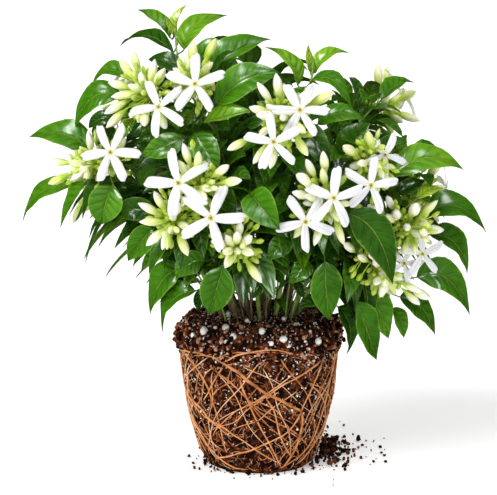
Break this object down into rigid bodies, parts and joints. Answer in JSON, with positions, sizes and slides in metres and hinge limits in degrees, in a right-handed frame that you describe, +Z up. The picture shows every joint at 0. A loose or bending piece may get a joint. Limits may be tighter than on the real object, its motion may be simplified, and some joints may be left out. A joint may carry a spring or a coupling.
{
  "type": "flowering downy jasmine on its root ball",
  "caption": "Bushy jasmine plant with white star flowers, pointed buds and glossy leaves, standing on a bare pot-shaped ball of soil gripped by roots.",
  "frame": {"origin": "centre of the root ball's flat underside", "axes": "+Z up along the root ball's axis; -Y towards the viewer of the picture, +X to that viewer's right"},
  "size_m": [0.3239, 0.2391, 0.3217],
  "materials": {
    "soil": "dark crumbly potting soil with white perlite beads",
    "root": "orange-brown roots, matt",
    "foliage": "green stems and glossy leaves, lime on the young shoots",
    "bud": "cream-white to lime buds on fine lime pedicels",
    "petal": "soft white petals with a yellow-green throat"
  },
  "bodies": {
    "root": {"bloom_back_high": "petal", "bloom_back_high_left": "petal", "bloom_back_high_right": "petal", "bloom_back_low_left": "petal", "bloom_back_low_right": "petal", "bloom_back_right": "petal", "bloom_left_1": "petal", "bloom_low_right_1": "petal", "bloom_middle_1": "petal", "bloom_middle_2": "petal", "bloom_right_low_1": "petal", "bloom_right_middle_1": "petal", "bloom_right_middle_2": "petal", "bloom_right_top_1": "petal", "bloom_right_top_2": "petal", "bloom_top_1": "petal", "bloom_upper_left_1": "petal", "bloom_upper_right_1": "petal", "bloom_upper_right_2": "petal", "root_net": "root", "soil_ball": "soil", "spray_back_high": "bud", "spray_back_high_left": "bud", "spray_back_high_right": "bud", "spray_back_left": "bud", "spray_back_low_left": "bud", "spray_back_low_right": "bud", "spray_back_right": "bud", "spray_bottom": "bud", "spray_left": "bud", "spray_low_right": "bud", "spray_lower_left": "bud", "spray_middle": "bud", "spray_right_low": "bud", "spray_right_middle": "bud", "spray_right_top": "bud", "spray_top": "bud", "spray_upper_left": "bud", "spray_upper_right": "bud", "stem_back_high": "foliage", "stem_back_high_left": "foliage", "stem_back_high_right": "foliage", "stem_back_left": "foliage", "stem_back_low_left": "foliage", "stem_back_low_right": "foliage", "stem_back_right": "foliage", "stem_bottom": "foliage", "stem_crown": "foliage", "stem_left": "foliage", "stem_low_right": "foliage", "stem_lower_left": "foliage", "stem_middle": "foliage", "stem_right_low": "foliage", "stem_right_middle": "foliage", "stem_right_top": "foliage", "stem_top": "foliage", "stem_upper_left": "foliage", "stem_upper_right": "foliage"}
  },
  "joints": []
}
